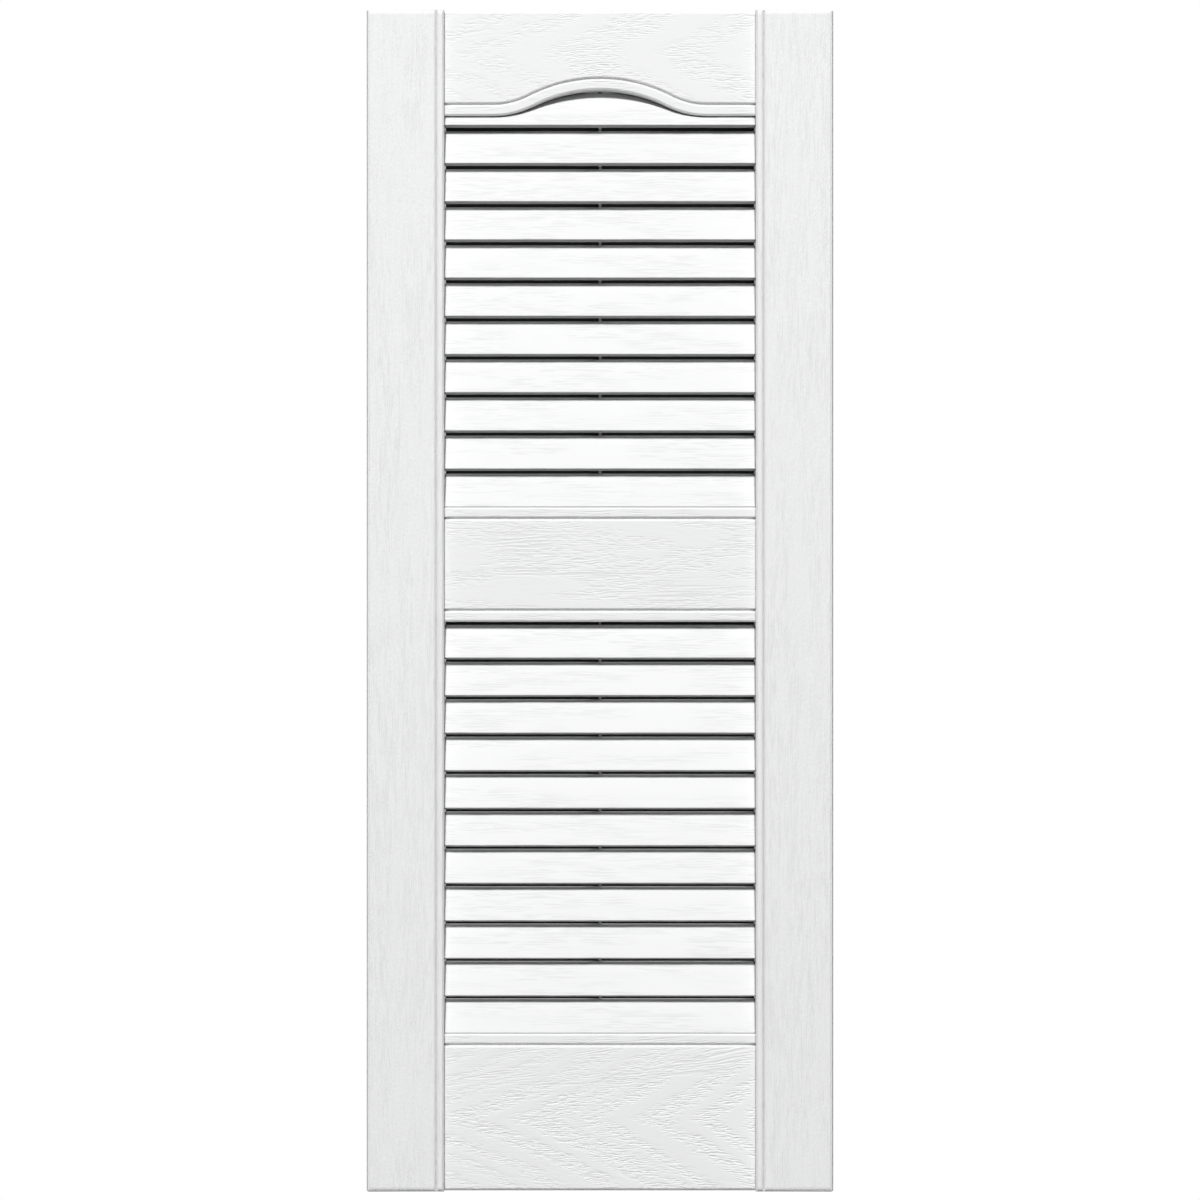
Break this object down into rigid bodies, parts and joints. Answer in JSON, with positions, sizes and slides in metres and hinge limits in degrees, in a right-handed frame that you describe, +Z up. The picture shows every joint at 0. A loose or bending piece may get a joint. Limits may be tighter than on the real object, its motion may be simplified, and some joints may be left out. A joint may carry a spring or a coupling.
{
  "type": "louvered window shutter",
  "caption": "White moulded-plastic window shutter: a frame of stiles and rails with an arched head and two banks of fixed sloping louvres, open and ribbed at the back.",
  "frame": {"origin": "middle of the lower edge, on the rear rim that lies against the wall", "axes": "+Z up along the stiles, +Y into the wall, +X to the right seen from the front"},
  "size_m": [0.3048, 0.026, 0.772],
  "materials": {
    "frame": "matt white moulded plastic with an embossed wood grain",
    "louvre": "matt white moulded plastic with a faint embossed wood grain along the slat",
    "rib": "plain matt white moulded plastic"
  },
  "bodies": {
    "root": {"left_stile": "frame", "right_stile": "frame", "top_rail": "frame", "middle_rail": "frame", "bottom_rail": "frame", "arched_head_louvre": "louvre", "upper_louvre_01": "louvre", "upper_louvre_02": "louvre", "upper_louvre_03": "louvre", "upper_louvre_04": "louvre", "upper_louvre_05": "louvre", "upper_louvre_06": "louvre", "upper_louvre_07": "louvre", "upper_louvre_08": "louvre", "upper_louvre_09": "louvre", "upper_louvre_10": "louvre", "lower_louvre_01": "louvre", "lower_louvre_02": "louvre", "lower_louvre_03": "louvre", "lower_louvre_04": "louvre", "lower_louvre_05": "louvre", "lower_louvre_06": "louvre", "lower_louvre_07": "louvre", "lower_louvre_08": "louvre", "lower_louvre_09": "louvre", "lower_louvre_10": "louvre", "lower_louvre_11": "louvre", "left_stile_ribs": "rib", "right_stile_ribs": "rib", "upper_centre_rib": "rib", "lower_centre_rib": "rib"}
  },
  "joints": []
}
